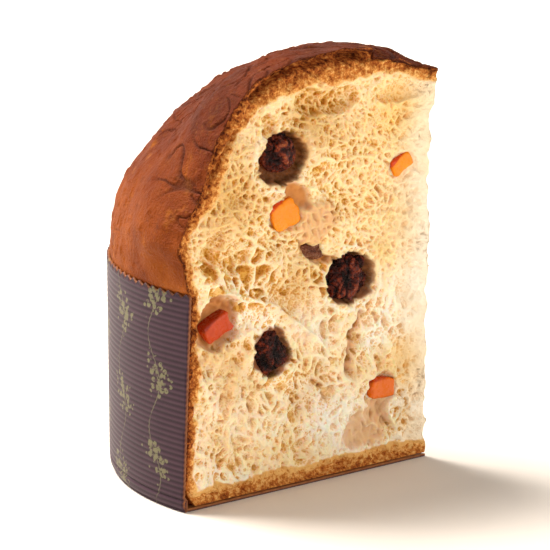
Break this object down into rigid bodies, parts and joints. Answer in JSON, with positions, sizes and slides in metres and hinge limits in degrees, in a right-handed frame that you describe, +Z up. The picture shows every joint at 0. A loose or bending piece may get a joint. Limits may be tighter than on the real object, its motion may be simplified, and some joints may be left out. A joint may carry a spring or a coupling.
{
  "type": "panettone slice",
  "caption": "Tall cut wedge of domed panettone standing on its base, with chocolate and candied orange in open crumb and its fluted paper mould around the crust.",
  "frame": {"origin": "centre of the bounding box's bottom, on the surface that the slice stands on", "axes": "+Z up, the long way of the slice; -Y out of the first cut face; +X towards the inner edge of the wedge"},
  "size_m": [0.1044, 0.0984, 0.1425],
  "materials": {
    "baked_loaf": "matte open crumb, brown crust",
    "mould_paper": "fluted baking paper, satin",
    "base_paper": "baking paper, satin",
    "dark_chocolate": "broken, half gloss",
    "candied_orange": "sugared, translucent, glossy"
  },
  "bodies": {
    "root": {"loaf": "baked_loaf", "mould_wall": "mould_paper", "mould_base": "base_paper", "chocolate_chunk_1": "dark_chocolate", "chocolate_chunk_2": "dark_chocolate", "chocolate_chunk_3": "dark_chocolate", "chocolate_chunk_4": "dark_chocolate", "chocolate_chunk_5": "dark_chocolate", "chocolate_chunk_6": "dark_chocolate", "chocolate_chunk_7": "dark_chocolate", "orange_cube_1": "candied_orange", "orange_cube_2": "candied_orange", "orange_cube_3": "candied_orange", "orange_cube_4": "candied_orange", "orange_cube_5": "candied_orange", "orange_cube_6": "candied_orange", "orange_cube_7": "candied_orange"}
  },
  "joints": []
}
